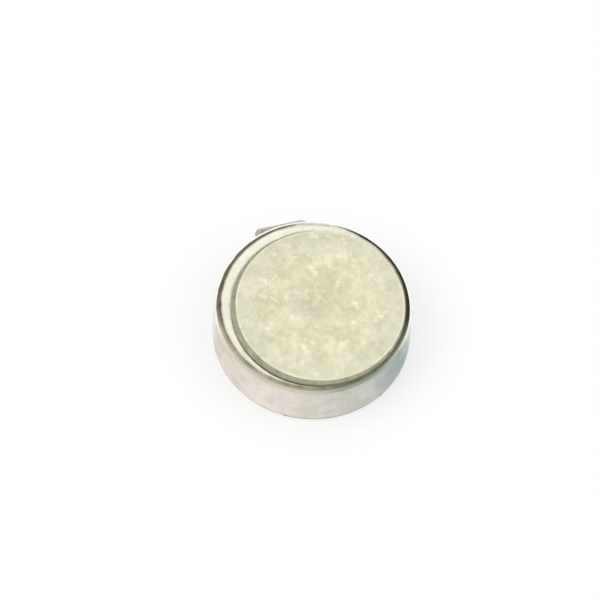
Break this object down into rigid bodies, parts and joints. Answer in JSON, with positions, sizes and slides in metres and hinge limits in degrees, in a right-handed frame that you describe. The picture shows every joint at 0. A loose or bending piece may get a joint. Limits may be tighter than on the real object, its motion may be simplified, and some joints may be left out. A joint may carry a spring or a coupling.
{
  "type": "vibration coin motor",
  "caption": "Flat round vibration motor: steel can with a brushed eccentric rotor inside, solder terminals on a side tab, and an adhesive disc under a release liner.",
  "frame": {"origin": "centre of the base plate's underside, on the motor's axis", "axes": "+Z along the motor's axis towards the adhesive face, +Y from the axis towards the terminal tab"},
  "size_m": [0.01, 0.0114, 0.0032],
  "materials": {
    "case_steel": "nickel-plated drawn steel, bright on the closed end and satin on the wall",
    "base_steel": "nickel-plated pressed steel, satin",
    "weld_steel": "laser-welded steel, slightly heat tinted",
    "shaft_steel": "ground and polished hardened steel",
    "polyimide": "grey flexible-circuit base film, satin",
    "coverlay": "white flexible-circuit cover film, satin",
    "copper": "etched copper foil",
    "solder": "reflowed tin solder, bright",
    "brush_alloy": "gold-flashed spring alloy",
    "sealant": "cured clear resin, glossy",
    "magnet_plating": "coated ring magnet, dark satin",
    "adhesive": "cured adhesive film",
    "washer_plastic": "low-friction plastic film, natural",
    "bearing_bronze": "oil-filled sintered bronze, fine-grained",
    "board_laminate": "thin glass-epoxy laminate",
    "commutator_gold": "gold-plated copper",
    "magnet_wire": "enamelled copper winding",
    "rotor_resin": "moulded resin, black",
    "heavy_alloy": "sintered tungsten alloy, satin grey",
    "tape_foam": "double-sided adhesive tape, edge seen",
    "liner_paper": "cream release paper, matt and faintly mottled"
  },
  "bodies": {
    "housing": {"case_cup": "case_steel", "base_plate": "base_steel", "seam_welds": "weld_steel", "shaft": "shaft_steel", "flex_base_film": "polyimide", "flex_cover_film": "coverlay", "flex_trace_positive": "copper", "flex_trace_negative": "copper", "terminal_positive": "solder", "terminal_negative": "solder", "brush_positive": "brush_alloy", "brush_negative": "brush_alloy", "brush_solder_positive": "solder", "brush_solder_negative": "solder", "exit_sealant": "sealant", "magnet_adhesive": "adhesive", "ring_magnet": "magnet_plating", "lower_thrust_washer": "washer_plastic", "upper_thrust_washer": "washer_plastic", "adhesive_tape": "tape_foam"},
    "rotor": {"bearing_sleeve": "bearing_bronze", "commutator_board": "board_laminate", "commutator_segment_1": "commutator_gold", "commutator_segment_2": "commutator_gold", "commutator_segment_3": "commutator_gold", "commutator_segment_4": "commutator_gold", "commutator_segment_5": "commutator_gold", "commutator_segment_6": "commutator_gold", "coil_right": "magnet_wire", "coil_left": "magnet_wire", "coil_lead_1": "magnet_wire", "coil_lead_2": "magnet_wire", "coil_lead_3": "magnet_wire", "coil_lead_4": "magnet_wire", "coil_solder_1": "solder", "coil_solder_2": "solder", "coil_solder_3": "solder", "coil_solder_4": "solder", "rotor_molding": "rotor_resin", "eccentric_weight": "heavy_alloy"},
    "liner": {"release_liner": "liner_paper"}
  },
  "joints": [
    {"name": "rotor_spin", "type": "hinge", "parent": "housing", "child": "rotor", "pos_m": [0, 0, 0], "axis": [0, 0, 1], "continuous": true},
    {"name": "liner_lift", "type": "slide", "parent": "housing", "child": "liner", "axis": [0, 0, 1], "range_m": [0, 0.005]}
  ]
}
